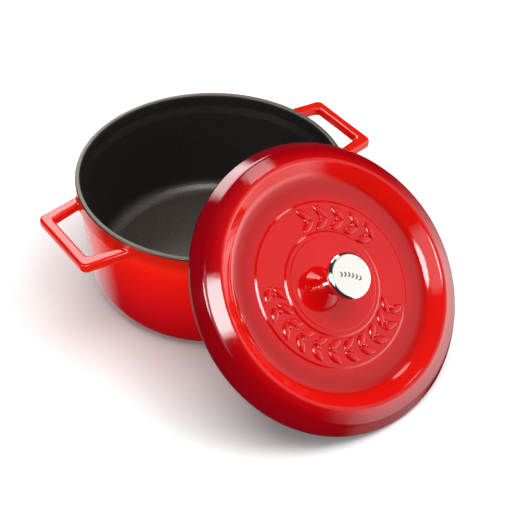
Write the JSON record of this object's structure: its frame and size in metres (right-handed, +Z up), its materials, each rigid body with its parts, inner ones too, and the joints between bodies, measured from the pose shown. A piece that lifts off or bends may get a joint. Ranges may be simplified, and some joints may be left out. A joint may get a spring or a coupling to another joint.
{
  "type": "cast iron dutch oven",
  "caption": "Round enamelled cast iron casserole pot with two flat loop handles, and its domed-rim lid leaning against it.",
  "frame": {"origin": "centre of the pot's flat base, on the surface it stands on", "axes": "+Z up; the two handles lie along Y; +X points from the pot towards the leaning lid"},
  "size_m": [0.3833, 0.317, 0.1711],
  "materials": {
    "bare_iron": "ground and seasoned, grey-beige",
    "red_enamel": "high gloss, orange-red shading to crimson",
    "black_enamel": "matte black, finely grained",
    "polished_steel": "mirror-polished stainless steel",
    "plain_steel": "plain stainless steel"
  },
  "bodies": {
    "pot": {"pot_casting": "bare_iron", "pot_outer_enamel": "red_enamel", "pot_inner_enamel": "black_enamel"},
    "lid": {"lid_casting": "bare_iron", "lid_outer_enamel": "red_enamel", "lid_inner_enamel": "black_enamel", "knob": "polished_steel", "knob_screw": "plain_steel", "knob_washer": "plain_steel"}
  },
  "joints": [
    {"name": "lid_lift", "type": "slide", "parent": "pot", "child": "lid", "axis": [0, 0, 1], "range_m": [0, 0.25]}
  ]
}
